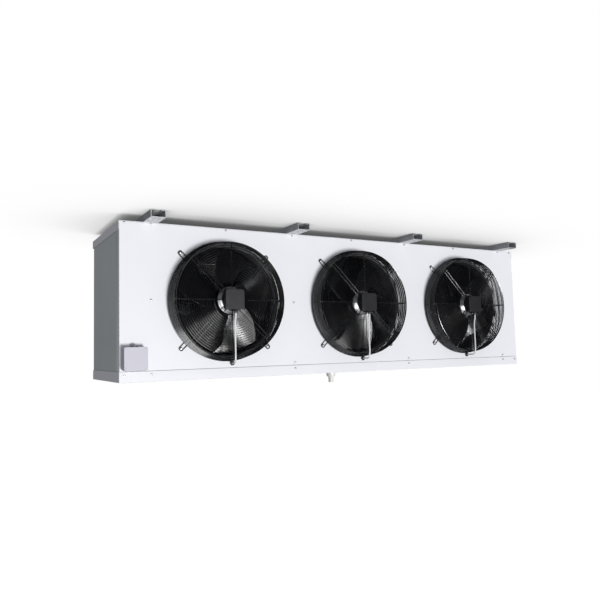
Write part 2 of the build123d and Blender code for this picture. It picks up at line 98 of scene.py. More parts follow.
class CoolerSizes(bpy.types.PropertyGroup):
    mouth_radius: bpy.props.FloatProperty(
        name="Mouth Radius", description="Radius of the fan mouth at the panel's face",
        default=0.2625, unit="LENGTH")
    throat_radius: bpy.props.FloatProperty(
        name="Throat Radius", description="Radius of the collar behind the mouth", default=0.256, unit="LENGTH")
    collar_depth: bpy.props.FloatProperty(
        name="Collar Depth", description="How far the collar reaches behind the panel", default=0.034,
        unit="LENGTH")
    lip_radius: bpy.props.FloatProperty(
        name="Lip Radius", description="Inner radius of the collar's lip in front of the panel", default=0.2534,
        unit="LENGTH")
    lip_reach: bpy.props.FloatProperty(
        name="Lip Reach", description="How far the collar's lip stands in front of the panel", default=0.0212,
        unit="LENGTH")
    sheet: bpy.props.FloatProperty(
        name="Sheet", description="Thickness of the casing's sheet", default=0.0015, unit="LENGTH")
    seam: bpy.props.FloatProperty(
        name="Seam", description="Open seam between the drip tray's lip and the panel above it", default=0.003,
        unit="LENGTH")
    bend_radius: bpy.props.FloatProperty(
        name="Bend Radius", description="Radius of the folds of the casing's sheet", default=0.003, unit="LENGTH")
    ring_pitch: bpy.props.FloatProperty(
        name="Ring Pitch", description="Spacing of the guard's rings", default=0.0106, unit="LENGTH")
    ring_wire: bpy.props.FloatProperty(
        name="Ring Wire", description="Diameter of the guard's ring wire", default=0.0035, unit="LENGTH")
    frame_wire: bpy.props.FloatProperty(
        name="Frame Wire", description="Diameter of the guard's frame wire", default=0.005, unit="LENGTH")
    guard_depth: bpy.props.FloatProperty(
        name="Guard Depth", description="How far the guard stands in front of the panel", default=0.085,
        unit="LENGTH")
    rim_radius: bpy.props.FloatProperty(
        name="Rim Radius", description="Radius of the guard's front rim", default=0.264, unit="LENGTH")
    base_radius: bpy.props.FloatProperty(
        name="Base Radius", description="Radius of the guard's ring at the panel", default=0.276, unit="LENGTH")
    inner_ring: bpy.props.FloatProperty(
        name="Inner Ring", description="Radius of the guard's innermost ring", default=0.092, unit="LENGTH")
    eye_radius: bpy.props.FloatProperty(
        name="Eye Radius", description="Distance of the guard's screw eyes from the axis", default=0.305,
        unit="LENGTH")
    arm_spacing: bpy.props.FloatProperty(
        name="Arm Spacing", description="Distance between the two wires of a doubled arm", default=0.018,
        unit="LENGTH")
    impeller_radius: bpy.props.FloatProperty(
        name="Impeller Radius", description="Radius of the blade tips", default=0.25, unit="LENGTH")
    fin_pitch: bpy.props.FloatProperty(
        name="Fin Pitch", description="Spacing of the coil's fins", default=0.0045, unit="LENGTH")


class CoolerColours(bpy.types.PropertyGroup):
    white_paint: bpy.props.FloatVectorProperty(
        name="White Paint", description="Powder coat of the casing", subtype="COLOR", size=3,
        default=(0.80, 0.80, 0.835), min=0.0, max=1.0)
    end_sheet: bpy.props.FloatVectorProperty(
        name="End Sheet", description="Grey coat of the end covers", subtype="COLOR", size=3,
        default=(0.60, 0.64, 0.635), min=0.0, max=1.0)
    guard_coat: bpy.props.FloatVectorProperty(
        name="Guard Coat", description="Coat of the wire guards", subtype="COLOR", size=3,
        default=(0.007, 0.007, 0.008), min=0.0, max=1.0)
    blade_coat: bpy.props.FloatVectorProperty(
        name="Blade Coat", description="Coat of the impellers", subtype="COLOR", size=3,
        default=(0.005, 0.005, 0.006), min=0.0, max=1.0)
    junction_box: bpy.props.FloatVectorProperty(
        name="Junction Box", description="Moulded plastic of the junction box", subtype="COLOR", size=3,
        default=(0.56, 0.55, 0.62), min=0.0, max=1.0)


def sizes():
    return bpy.context.scene.cooler_sizes


def colours():
    return bpy.context.scene.cooler_colours


# Materials

def finish(name, colour, roughness, metallic=0.0, tint=0.06, grain=400.0, bump=0.15, patch=6.0, streak=None,
           coat=0.0):
    """A procedural finish: patchy colour, uneven roughness and a fine grain in the surface."""
    material = bpy.data.materials.get(name)
    if material:
        return material
    material = bpy.data.materials.new(name)
    material.use_nodes = True
    nodes = material.node_tree.nodes
    links = material.node_tree.links
    shader = nodes["Principled BSDF"]
    shader.inputs["Metallic"].default_value = metallic
    shader.inputs["Coat Weight"].default_value = coat
    shader.inputs["Coat Roughness"].default_value = 0.12
    place = nodes.new("ShaderNodeTexCoord")
    mapping = nodes.new("ShaderNodeMapping")
    if streak:
        mapping.inputs["Scale"].default_value = streak
    links.new(place.outputs["Object"], mapping.inputs["Vector"])

    cloud = nodes.new("ShaderNodeTexNoise")
    cloud.inputs["Scale"].default_value = patch
    cloud.inputs["Detail"].default_value = 6.0
    cloud.inputs["Roughness"].default_value = 0.6
    links.new(mapping.outputs["Vector"], cloud.inputs["Vector"])
    shades = nodes.new("ShaderNodeValToRGB")
    dark = [channel * (1.0 - tint) for channel in colour] + [1.0]
    light = [min(1.0, channel * (1.0 + tint * 0.6)) for channel in colour] + [1.0]
    shades.color_ramp.elements[0].position = 0.30
    shades.color_ramp.elements[0].color = dark
    shades.color_ramp.elements[1].position = 0.70
    shades.color_ramp.elements[1].color = light
    links.new(cloud.outputs["Fac"], shades.inputs["Fac"])
    links.new(shades.outputs["Color"], shader.inputs["Base Color"])

    spread = nodes.new("ShaderNodeMapRange")
    spread.inputs["To Min"].default_value = max(0.02, roughness - 0.07)
    spread.inputs["To Max"].default_value = min(1.0, roughness + 0.09)
    links.new(cloud.outputs["Fac"], spread.inputs["Value"])
    links.new(spread.outputs["Result"], shader.inputs["Roughness"])

    fine = nodes.new("ShaderNodeTexNoise")
    fine.inputs["Scale"].default_value = grain
    fine.inputs["Detail"].default_value = 3.0
    links.new(mapping.outputs["Vector"], fine.inputs["Vector"])
    relief = nodes.new("ShaderNodeBump")
    relief.inputs["Strength"].default_value = bump
    relief.inputs["Distance"].default_value = 0.0006
    links.new(fine.outputs["Fac"], relief.inputs["Height"])
    links.new(relief.outputs["Normal"], shader.inputs["Normal"])
    return material


def white_paint():
    return finish("white_powder_coat", colours().white_paint, 0.42, tint=0.025, grain=900, bump=0.10, patch=2.2)


def end_sheet():
    return finish("grey_end_coat", colours().end_sheet, 0.45, tint=0.05, grain=800, bump=0.12, patch=3.0)


def bare_zinc():
    return finish("zinc_sheet", (0.55, 0.56, 0.57), 0.38, metallic=0.85, tint=0.12, grain=300, patch=40)


def bracket_zinc():
    return finish("bracket_zinc", (0.62, 0.63, 0.65), 0.42, metallic=0.55, tint=0.10, grain=350, patch=30)


def screw_zinc():
    return finish("screw_zinc", (0.50, 0.50, 0.52), 0.35, metallic=0.8, tint=0.15, grain=900, patch=120)


def guard_coat():
    return finish("guard_coat", colours().guard_coat, 0.22, tint=0.2, grain=1200, bump=0.05, patch=25, coat=0.8)


def collar_coat():
    return finish("collar_coat", (0.095, 0.097, 0.104), 0.36, tint=0.12, grain=700, bump=0.10, patch=14)


def blade_coat():
    return finish("blade_gloss", colours().blade_coat, 0.15, tint=0.3, grain=700, bump=0.02, patch=18, coat=0.3)


def cast_aluminium():
    return finish("cast_aluminium", (0.78, 0.78, 0.80), 0.30, metallic=0.9, tint=0.08, grain=500, patch=60)


def motor_coat():
    return finish("motor_coat", (0.03, 0.03, 0.032), 0.35, tint=0.15, grain=600, patch=40)


def fin_aluminium():
    return finish("fin_aluminium", (0.62, 0.64, 0.66), 0.42, metallic=0.35, tint=0.10, grain=250, patch=14)


def copper():
    return finish("copper_tube", (0.66, 0.34, 0.22), 0.30, metallic=0.95, tint=0.22, grain=500, patch=30)


def heater_sheath():
    return finish("heater_sheath", (0.38, 0.37, 0.36), 0.35, metallic=0.9, tint=0.15, grain=600, patch=50)


def box_plastic():
    return finish("junction_plastic", colours().junction_box, 0.48, tint=0.04, grain=1500, bump=0.18, patch=12)


def terminal_plastic():
    return finish("terminal_plastic", (0.014, 0.014, 0.016), 0.36, tint=0.08, grain=1500, bump=0.15, patch=20)


def gland_plastic():
    return finish("gland_plastic", (0.24, 0.24, 0.26), 0.45, tint=0.10, grain=1500, bump=0.15, patch=40)


def black_plastic():
    return finish("black_plastic", (0.02, 0.02, 0.022), 0.40, tint=0.15, grain=1500, bump=0.15, patch=40)


def lead_sheath():
    return finish("lead_sheath", (0.76, 0.76, 0.79), 0.42, tint=0.06, grain=900, bump=0.12, patch=60)


def drain_plastic():
    return finish("drain_plastic", (0.74, 0.74, 0.70), 0.36, tint=0.05, grain=1100, bump=0.12, patch=30)


# Mesh helpers

def piece(name, bm, material, body, replaced=(), sharp=35.0, second=None):
    """Turns a finished mesh into an object that rides on a body of the frame."""
    mesh = bpy.data.meshes.new(name)
    bm.to_mesh(mesh)
    bm.free()
    mesh.materials.append(material)
    if second:
        mesh.materials.append(second)
    mesh.polygons.foreach_set("use_smooth", [True] * len(mesh.polygons))
    mesh.set_sharp_from_angle(angle=math.radians(sharp))
    result = bpy.data.objects.new(name, mesh)
    bpy.context.scene.collection.objects.link(result)
    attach(result, body)
    if replaced:
        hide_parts(*replaced)
    return result


def even(result):
    """Keeps the shading of the large flat faces flat beside their rounded edges."""
    normals = result.modifiers.new("even", "WEIGHTED_NORMAL")
    normals.keep_sharp = True


def mend(bm):
    """Merges doubles and turns all faces outwards."""
    bmesh.ops.remove_doubles(bm, verts=bm.verts, dist=0.000002)
    bmesh.ops.recalc_face_normals(bm, faces=bm.faces)


def add_box(bm, low, high, bevel=0.0, segments=2):
    """A box between two corners with its edges broken."""
    low = Vector(low)
    high = Vector(high)
    size = high - low
    place = Matrix.Translation((low + high) / 2) @ Matrix.Diagonal((size.x, size.y, size.z, 1.0))
    made = bmesh.ops.create_cube(bm, size=1.0, matrix=place)
    if bevel:
        edges = list({edge for vert in made["verts"] for edge in vert.link_edges})
        bmesh.ops.bevel(bm, geom=edges, offset=bevel, segments=segments, profile=0.5, affect="EDGES",
                        material=-1)


def add_rounded_block(bm, low, high, corner, edge=0.0):
    """A moulded block: round corners seen from the front, and a softened front edge."""
    low = Vector(low)
    high = Vector(high)
    place = Matrix.Translation((low + high) / 2) @ Matrix.Diagonal((*(high - low), 1.0))
    made = bmesh.ops.create_cube(bm, size=1.0, matrix=place)
    uprights = [item for item in {edge for vert in made["verts"] for edge in vert.link_edges}
                if abs(item.verts[0].co.y - item.verts[1].co.y) > 1e-5]
    cut = bmesh.ops.bevel(bm, geom=uprights, offset=corner, segments=6, profile=0.5, affect="EDGES",
                          material=-1)
    if edge:
        faces = {face for vert in cut["verts"] for face in vert.link_faces}
        rim = {item for face in faces for item in face.edges
               if all(abs(vert.co.y - low.y) < 1e-6 for vert in item.verts)}
        bmesh.ops.bevel(bm, geom=list(rim), offset=edge, segments=3, profile=0.5, affect="EDGES",
                        material=-1)


def add_turned(bm, profile, centre, steps=64):
    """A closed solid turned about the y axis through a centre, from points of radius and place along it."""
    verts = [bm.verts.new(Vector((centre[0] + radius, centre[1] + along, centre[2]))) for radius, along in profile]
    edges = [bm.edges.new(pair) for pair in zip(verts, verts[1:])]
    made = bmesh.ops.spin(bm, geom=verts + edges, cent=centre, axis=(0, 1, 0), dvec=(0, 0, 0),
                          angle=2 * math.pi, steps=steps, use_merge=True)
    return made


def add_ring(bm, centre, radius, along, wire, steps=96, sides=8):
    """A ring of round wire about the y axis through a centre."""
    single = bmesh.new()
    start = Vector((centre[0] + radius, centre[1] + along, centre[2]))
    made = bmesh.ops.create_circle(single, segments=sides, radius=wire / 2, matrix=Matrix.Translation(start))
    edges = list({edge for vert in made["verts"] for edge in vert.link_edges})
    bmesh.ops.spin(single, geom=made["verts"] + edges, cent=centre, axis=(0, 1, 0), dvec=(0, 0, 0),
                   angle=2 * math.pi, steps=steps, use_merge=True)
    bmesh.ops.recalc_face_normals(single, faces=single.faces)
    join(bm, single)


def rounded(points, radius, steps=5):
    """The points of a bent wire's centre line, with each corner turned round an arc."""
    points = [Vector(point) for point in points]
    line = [points[0]]
    for before, corner, after in zip(points, points[1:], points[2:]):
        towards = (before - corner).normalized()
        away = (after - corner).normalized()
        turn = math.pi - towards.angle(away)
        reach = radius * math.tan(turn / 2)
        reach = min(reach, 0.45 * (before - corner).length, 0.45 * (after - corner).length)
        for step in range(steps + 1):
            share = step / steps
            first = corner + towards * reach * (1 - share)
            last = corner + away * reach * share
            line.append(first.lerp(last, share))
    line.append(points[-1])
    return line


def add_wire(bm, line, wire, sides=8):
    """A round wire along a line of points, closed at both ends."""
    single = bmesh.new()
    rings = []
    for index, point in enumerate(line):
        before = line[max(index - 1, 0)]
        after = line[min(index + 1, len(line) - 1)]
        turn = (after - before).to_track_quat("Z", "Y").to_matrix().to_4x4()
        made = bmesh.ops.create_circle(single, segments=sides, radius=wire / 2,
                                       matrix=Matrix.Translation(point) @ turn)
        rings.append(made["verts"])
    for first, second in zip(rings, rings[1:]):
        edges = [edge for ring in (first, second) for vert in ring for edge in vert.link_edges
                 if edge.other_vert(vert) in ring]
        bmesh.ops.bridge_loops(single, edges=list(set(edges)))
    bmesh.ops.contextual_create(single, geom=rings[0])
    bmesh.ops.contextual_create(single, geom=rings[-1])
    bmesh.ops.recalc_face_normals(single, faces=single.faces)
    join(bm, single)


def join(bm, part):
    """Adds a finished part to a mesh and frees the part."""
    holder = bpy.data.meshes.new("holder")
    part.to_mesh(holder)
    part.free()
    bm.from_mesh(holder)
    bpy.data.meshes.remove(holder)


def add_head(bm, place, normal, flats, height, washer):
    """A hexagonal screw head with a washer face, standing on a place."""
    turn = Vector(normal).to_track_quat("Z", "Y").to_matrix().to_4x4()
    seat = Matrix.Translation(place) @ turn
    thin = height * 0.25
    bmesh.ops.create_cone(bm, cap_ends=True, cap_tris=False, segments=24, radius1=washer / 2,
                          radius2=washer / 2 * 0.94, depth=thin, matrix=seat @ Matrix.Translation((0, 0, thin / 2)))
    made = bmesh.ops.create_cone(bm, cap_ends=True, cap_tris=False, segments=6, radius1=flats / math.sqrt(3),
                                 radius2=flats / math.sqrt(3), depth=height - thin,
                                 matrix=seat @ Matrix.Translation((0, 0, (height + thin) / 2)))
    edges = list({edge for vert in made["verts"] for edge in vert.link_edges})
    bmesh.ops.bevel(bm, geom=edges, offset=height * 0.12, segments=2, profile=0.5, affect="EDGES", material=-1)


def islands(node):
    """The middle of each separate solid of a CAD node, from its corners."""
    bm = bmesh.new()
    bm.from_mesh(frame["nodes"][node].data)
    bmesh.ops.remove_doubles(bm, verts=bm.verts, dist=0.00001)
    seen = set()
    middles = []
    for vert in bm.verts:
        if vert in seen:
            continue
        group = []
        stack = [vert]
        while stack:
            current = stack.pop()
            if current in seen:
                continue
            seen.add(current)
            group.append(current.co.copy())
            stack.extend(edge.other_vert(current) for edge in current.link_edges)
        low = Vector(min(co[axis] for co in group) for axis in range(3))
        high = Vector(max(co[axis] for co in group) for axis in range(3))
        middles.append((low, high))
    bm.free()
    return middles


def around(turn, radius, along, shift=0.0):
    """A point about a fan axis: turn in degrees from 3 o'clock, and a shift across the radius."""
    angle = math.radians(turn)
    out = Vector((math.cos(angle), 0, math.sin(angle)))
    side = Vector((-math.sin(angle), 0, math.cos(angle)))
    return out * radius + side * shift + Vector((0, along, 0))


# Casing

class COOLER_OT_front_panel(bpy.types.Operator):
    """The folded front sheet with its three drawn fan mouths"""
    bl_idname = "cooler.front_panel"
    bl_label = "Front Panel"

    def execute(self, context):
        size = sizes()
        low = PANEL_LOW
        high = PANEL_HIGH
        bm = bmesh.new()
        step = TRAY_HIGH.z + size.seam
        corners = [(low.x, step), (high.x, step), (high.x, high.z), (low.x, high.z)]
        verts = [bm.verts.new((across, FACE, rise)) for across, rise in corners]
        outline = [bm.edges.new((verts[index], verts[(index + 1) % 4])) for index in range(4)]
        mouths = []
        for fan in FANS:
            turn = Matrix.Translation((fan.x, FACE, fan.z)) @ Matrix.Rotation(math.radians(90), 4, "X")
            made = bmesh.ops.create_circle(bm, segments=128, radius=size.mouth_radius + 0.004, matrix=turn)
            edges = list({edge for vert in made["verts"] for edge in vert.link_edges})
            mouths.append((fan, edges))
        fill = outline + [edge for _, edges in mouths for edge in edges]
        bmesh.ops.triangle_fill(bm, edges=fill, use_beauty=True, normal=(0, -1, 0))
        profile = [(size.mouth_radius + 0.0018, -0.0014), (size.mouth_radius - 0.0002, -0.0010),
                   (size.mouth_radius - 0.0012, 0.0008), (size.mouth_radius - 0.0012, 0.0022)]
        for fan, edges in mouths:
            loop = edges
            for radius, along in profile:
                made = bmesh.ops.extrude_edge_only(bm, edges=loop)
                rim = [item for item in made["geom"] if isinstance(item, bmesh.types.BMVert)]
                loop = [item for item in made["geom"] if isinstance(item, bmesh.types.BMEdge)
                        and all(vert in rim for vert in item.verts)]
                for vert in rim:
                    out = Vector((vert.co.x - fan.x, 0, vert.co.z - fan.z)).normalized()
                    vert.co = Vector((fan.x, FACE + along, fan.z)) + out * radius
        foot = [outline[0]]
        for back, drop in ((0.006, 0.0), (0.0, step - low.z)):
            made = bmesh.ops.extrude_edge_only(bm, edges=foot)
            rim = [item for item in made["geom"] if isinstance(item, bmesh.types.BMVert)]
            foot = [item for item in made["geom"] if isinstance(item, bmesh.types.BMEdge)
                    and all(vert in rim for vert in item.verts)]
            bmesh.ops.translate(bm, verts=rim, vec=(0, back, -drop))
        sides = outline[1:]
        made = bmesh.ops.extrude_edge_only(bm, edges=sides)
        back = [item for item in made["geom"] if isinstance(item, bmesh.types.BMVert)]
        bmesh.ops.translate(bm, verts=back, vec=(0, high.y - low.y, 0))
        bmesh.ops.bevel(bm, geom=sides, offset=size.bend_radius, segments=4, profile=0.5, affect="EDGES",
                        material=-1)
        bmesh.ops.recalc_face_normals(bm, faces=bm.faces)
        fronts = [face for face in bm.faces if abs(face.calc_center_median().y - FACE) < 1e-5]
        if fronts[0].normal.y > 0:
            bmesh.ops.reverse_faces(bm, faces=bm.faces)
        shell = piece("front_panel_shell", bm, white_paint(), CASING, ["front_panel"])
        wall = shell.modifiers.new("sheet", "SOLIDIFY")
        wall.thickness = size.sheet
        wall.offset = -1.0
        even(shell)
        return {"FINISHED"}


class COOLER_OT_collars(bpy.types.Operator):
    """The drawn ring behind each fan mouth, flared at the panel and rolled at its back edge"""
    bl_idname = "cooler.collars"
    bl_label = "Fan Collars"

    def execute(self, context):
        size = sizes()
        mouth = size.mouth_radius
        throat = size.throat_radius
        depth = size.collar_depth
        for index, fan in enumerate(FANS):
            low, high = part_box(f"fan_collar_{index + 1}")
            flange = (high.x - low.x) / 2 - 0.001
            lip = size.lip_radius
            reach = size.lip_reach
            seat = mouth - 0.0017
            rim = size.base_radius - 0.0005
            profile = [(flange, 0.0032), (flange, 0.0021), (seat, 0.0021), (seat, -0.0017), (mouth + 0.0025, -0.0017),
                       (mouth + 0.0043, -0.0003), (rim, -0.0002), (rim, -0.0007), (mouth + 0.0045, -0.0013),
                       (mouth + 0.0005, -0.0028), (mouth - 0.0025, -0.0060), (mouth - 0.0050, -0.0125),
                       (lip + 0.0026, 0.0022 - reach), (lip + 0.0017, -reach), (lip + 0.0006, 0.0004 - reach),
                       (lip, 0.0022 - reach), (lip, -0.004), (lip + 0.0008, 0.008), (throat, 0.016), (throat, depth),
                       (throat + 0.0012, depth), (throat + 0.0014, 0.016), (throat + 0.0018, 0.0125),
                       (mouth - 0.0028, 0.0066), (mouth - 0.0015, 0.0040), (mouth + 0.0006, 0.0032)]
            bm = bmesh.new()
            verts = [bm.verts.new(fan + Vector((radius, along, 0))) for radius, along in profile]
            edges = [bm.edges.new(pair) for pair in zip(verts, verts[1:] + verts[:1])]
            bmesh.ops.spin(bm, geom=verts + edges, cent=fan, axis=(0, 1, 0), dvec=(0, 0, 0), angle=2 * math.pi,
                           steps=128, use_merge=True)
            mend(bm)
            piece(f"collar_ring_{index + 1}", bm, collar_coat(), CASING, [f"fan_collar_{index + 1}"],
                  40)
        return {"FINISHED"}


class COOLER_OT_sheets(bpy.types.Operator):
    """The finishes of the sheets that keep their CAD form"""
    bl_idname = "cooler.sheets"
    bl_label = "Sheet Finishes"

    def execute(self, context):
        finishes = {
            "top_panel": white_paint(),
            "left_end_cover": end_sheet(),
            "right_end_cover": end_sheet(),
            "left_coil_plate": bare_zinc(),
            "right_coil_plate": bare_zinc(),
            "partition_1": bare_zinc(),
            "partition_2": bare_zinc(),
            "drain_pan": fin_aluminium(),
            "drain_gasket": black_plastic(),
            "motor_bearings": cast_aluminium(),
        }
        for index in range(1, len(FANS) + 1):
            finishes[f"motor_shaft_{index}"] = cast_aluminium()
            finishes[f"lead_grommet_{index}"] = black_plastic()
        for name, material in finishes.items():
            node = frame["nodes"][name]
            node.data.materials.clear()
            node.data.materials.append(material)
        return {"FINISHED"}


class COOLER_OT_drip_tray(bpy.types.Operator):
    """The outer tray with its folded corners and rounded bottom edges"""
    bl_idname = "cooler.drip_tray"
    bl_label = "Drip Tray"

    def execute(self, context):
        size = sizes()
        low = TRAY_LOW
        high = TRAY_HIGH
        bm = bmesh.new()
        made = bmesh.ops.create_cube(bm, size=1.0)
        for vert in made["verts"]:
            for axis in range(3):
                vert.co[axis] = high[axis] if vert.co[axis] > 0 else low[axis]
        lid = [face for face in bm.faces if face.normal.z > 0.9]
        bmesh.ops.delete(bm, geom=lid, context="FACES_ONLY")
        upright = [edge for edge in bm.edges if abs(edge.verts[0].co.z - edge.verts[1].co.z) > 0.001]
        bmesh.ops.bevel(bm, geom=upright, offset=size.bend_radius, segments=4, profile=0.5, affect="EDGES",
                        material=-1)
        foot = [edge for edge in bm.edges if not edge.is_boundary
                and all(abs(vert.co.z - low.z) < 1e-6 for vert in edge.verts)]
        bmesh.ops.bevel(bm, geom=foot, offset=size.bend_radius * 0.7, segments=3, profile=0.5, affect="EDGES",
                        material=-1)
        bmesh.ops.recalc_face_normals(bm, faces=bm.faces)
        tray = piece("drip_tray_shell", bm, white_paint(), CASING, ["drip_tray"])
        wall = tray.modifiers.new("sheet", "SOLIDIFY")
        wall.thickness = size.sheet
        wall.offset = -1.0
        even(tray)
        return {"FINISHED"}


class COOLER_OT_channels(bpy.types.Operator):
    """The lipped hanging channels and their bolts"""
    bl_idname = "cooler.channels"
    bl_label = "Hanging Channels"

    def execute(self, context):
        for index in range(1, 5):
            node = frame["nodes"][f"hanger_bracket_{index}"]
            node.data.materials.clear()
            node.data.materials.append(bracket_zinc())
        bm = bmesh.new()
        for low, high in islands("bracket_bolts"):
            middle = (low + high) / 2
            add_head(bm, (middle.x, middle.y, low.z), (0, 0, 1), 0.013, high.z - low.z, 0.022)
        piece("channel_bolts", bm, screw_zinc(), CASING, ["bracket_bolts"])
        return {"FINISHED"}


class COOLER_OT_screws(bpy.types.Operator):
    """The sheet screws of the panel, tray, covers and guards"""
    bl_idname = "cooler.screws"
    bl_label = "Screws"

    def execute(self, context):
        kinds = {
            "front_panel_screws": ("panel_screw_heads", 0.0075, (0, -1, 0), 0.0105),
            "tray_screws": ("tray_screw_heads", 0.0075, (0, -1, 0), 0.0105),
            "end_cover_screws": ("cover_screw_heads", 0.0075, (0, 1, 0), 0.0105),
            "guard_screws": ("guard_screw_heads", 0.010, (0, -1, 0), 0.0178),
        }
        for node, (name, flats, normal, washer) in kinds.items():
            bm = bmesh.new()
            for low, high in islands(node):
                middle = (low + high) / 2
                seat = high.y if normal[1] < 0 else low.y
                add_head(bm, (middle.x, seat, middle.z), normal, flats, high.y - low.y, washer)
            piece(name, bm, screw_zinc(), CASING, [node])
        return {"FINISHED"}


class COOLER_OT_drain(bpy.types.Operator):
    """The drain outlet with its ribbed back nut"""
    bl_idname = "cooler.drain"
    bl_label = "Drain Outlet"

    def execute(self, context):
        low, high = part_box("drain_spigot")
        nut_low, nut_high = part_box("drain_nut")
        middle = (nut_low + nut_high) / 2
        bm = bmesh.new()
        outer = 0.014
        bore = 0.011
        length = high.z - low.z
        profile = [(bore, length), (bore, 0.0), (outer - 0.001, 0.0), (outer, 0.001), (outer, length - 0.004),
                   (0.0245, length - 0.004), (0.0245, length), (bore, length)]
        self.turn_upright(bm, profile, (middle.x, middle.y, low.z))
        piece("drain_outlet", bm, drain_plastic(), CASING, ["drain_spigot"])
        bm = bmesh.new()
        height = nut_high.z - nut_low.z
        made = bmesh.ops.create_cone(bm, cap_ends=True, segments=12, radius1=0.0225, radius2=0.0275, depth=height,
                                     matrix=Matrix.Translation(middle))
        edges = list({edge for vert in made["verts"] for edge in vert.link_edges})
        bmesh.ops.bevel(bm, geom=edges, offset=0.0012, segments=2, profile=0.5, affect="EDGES", material=-1)
        piece("drain_back_nut", bm, drain_plastic(), CASING, ["drain_nut"])
        return {"FINISHED"}

    def turn_upright(self, bm, profile, foot):
        verts = [bm.verts.new(Vector(foot) + Vector((radius, 0, rise))) for radius, rise in profile[:-1]]
        edges = [bm.edges.new(pair) for pair in zip(verts, verts[1:] + verts[:1])]
        bmesh.ops.spin(bm, geom=verts + edges, cent=foot, axis=(0, 0, 1), dvec=(0, 0, 0), angle=2 * math.pi,
                       steps=48, use_merge=True)
        mend(bm)


# Fans

class COOLER_OT_guards(bpy.types.Operator):
    """The wire guard baskets: bent frame wires, screw eyes and the full set of rings"""
    bl_idname = "cooler.guards"
    bl_label = "Wire Guards"

    def execute(self, context):
        basket = bmesh.new()
        self.arms(basket, Vector())
        self.rings(basket, Vector())
        for index, fan in enumerate(FANS):
            bm = basket.copy()
            bmesh.ops.translate(bm, verts=bm.verts, vec=fan)
            number = index + 1
            piece(f"guard_basket_{number}", bm, guard_coat(), CASING, [f"fan_guard_{number}"])
        basket.free()
        return {"FINISHED"}

    def rings(self, bm, fan):
        size = sizes()
        front = -size.guard_depth - size.ring_wire / 2
        radius = size.inner_ring
        while radius < size.rim_radius - size.ring_pitch * 0.6:
            add_ring(bm, fan, radius, front, size.ring_wire, sides=6)
            radius += size.ring_pitch
        add_ring(bm, fan, size.rim_radius, -size.guard_depth - size.frame_wire / 2, size.frame_wire)
        add_ring(bm, fan, size.base_radius, -1.5 * size.frame_wire, size.frame_wire)
        side_count = 8
        for step in range(1, side_count + 1):
            share = step / (side_count + 1)
            across = size.rim_radius + (size.base_radius - size.rim_radius) * share
            along = -size.guard_depth + (size.guard_depth - 1.5 * size.frame_wire) * share
            add_ring(bm, fan, across + 0.003, along, size.ring_wire, sides=6)

    def arms(self, bm, fan):
        size = sizes()
        wire = size.frame_wire
        front = wire / 2 - size.guard_depth
        foot = -wire / 2
        half = size.arm_spacing / 2
        inner = 0.045
        shoulder = size.rim_radius + wire / 2
        foot_radius = size.base_radius - wire
        for turn in (0, 90, 180, 270):
            line = [around(turn, inner, front), around(turn, shoulder, front),
                    around(turn, foot_radius, foot)]
            add_wire(bm, [fan + point for point in rounded(line, 0.008)], wire)
        eye_end = size.eye_radius + 0.009
        for turn in (45, 135, 225, 315):
            line = [around(turn, inner, front, -half), around(turn, shoulder, front, -half),
                    around(turn, foot_radius, foot, -half), around(turn, eye_end, foot, -half),
                    around(turn, eye_end, foot, half), around(turn, foot_radius, foot, half),
                    around(turn, shoulder, front, half), around(turn, inner, front, half)]
            add_wire(bm, [fan + point for point in rounded(line, 0.0085, 6)], wire)
        plate = [(0.0, -size.guard_depth), (0.049, -size.guard_depth), (0.05, -size.guard_depth + 0.001),
                 (0.05, -size.guard_depth + 0.006), (0.0, -size.guard_depth + 0.006)]
        add_turned(bm, plate, fan)


